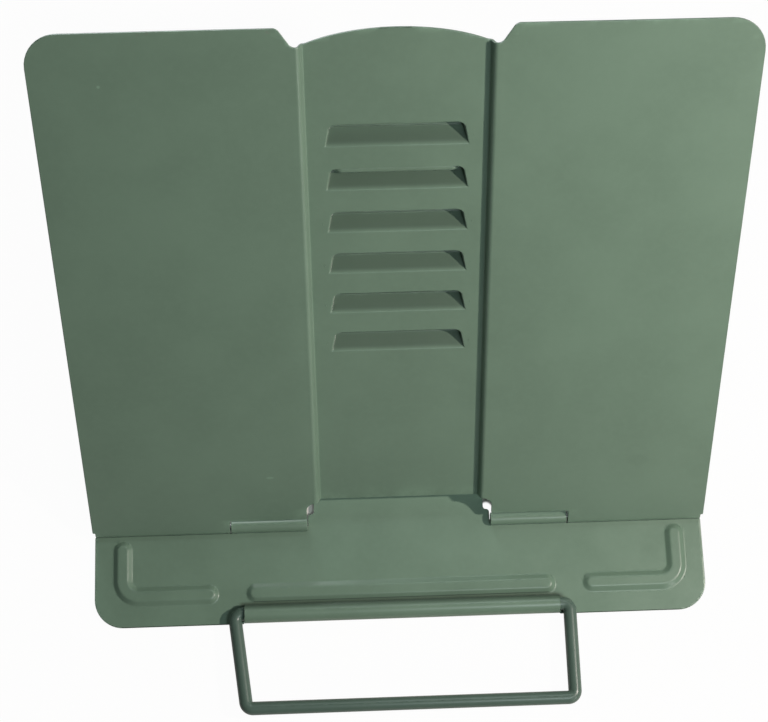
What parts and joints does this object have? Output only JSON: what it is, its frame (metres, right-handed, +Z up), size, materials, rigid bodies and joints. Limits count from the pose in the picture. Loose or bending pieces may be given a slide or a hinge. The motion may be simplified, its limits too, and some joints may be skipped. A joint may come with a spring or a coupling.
{
  "type": "folding bookstand",
  "caption": "Folding sheet-metal bookstand with a louvred back panel on a hinge, a wire prop behind it and a swinging wire page holder in front.",
  "frame": {"origin": "on the desk under the middle of the overall box at rest", "axes": "+X along the hinge to the reader's right, +Y to the rear, +Z up"},
  "size_m": [0.245, 0.2129, 0.1704],
  "materials": {
    "painted_sheet": "satin grey-green powder coat with a fine texture",
    "painted_wire": "satin grey-green powder coat",
    "pin_steel": "drawn steel wire",
    "pad_rubber": "matt rubber"
  },
  "bodies": {
    "base": {"base_plate": "painted_sheet", "hinge_pin_left": "pin_steel", "hinge_pin_right": "pin_steel", "foot_pad_front_left": "pad_rubber", "foot_pad_front_right": "pad_rubber", "foot_pad_rear_left": "pad_rubber", "foot_pad_rear_right": "pad_rubber"},
    "panel": {"back_panel": "painted_sheet"},
    "prop": {"prop_wire": "painted_wire"},
    "holder": {"page_holder": "painted_wire"}
  },
  "joints": [
    {"name": "panel_fold", "type": "hinge", "parent": "base", "child": "panel", "pos_m": [0, -0.03209, 0.00405], "axis": [1, 0, 0], "range_deg": [-41, 0]},
    {"name": "prop_fold", "type": "hinge", "parent": "base", "child": "prop", "pos_m": [0, 0.05591, 0.00415], "axis": [1, 0, 0], "range_deg": [-79.13, 0]},
    {"name": "page_holder_swing", "type": "hinge", "parent": "base", "child": "holder", "pos_m": [0, -0.06702, 0.00517], "axis": [-1, 0, 0], "range_deg": [0, 155]}
  ],
  "couplings": [
    {"joint": "prop_fold", "follows": "panel_fold", "ratio": 1.93}
  ]
}
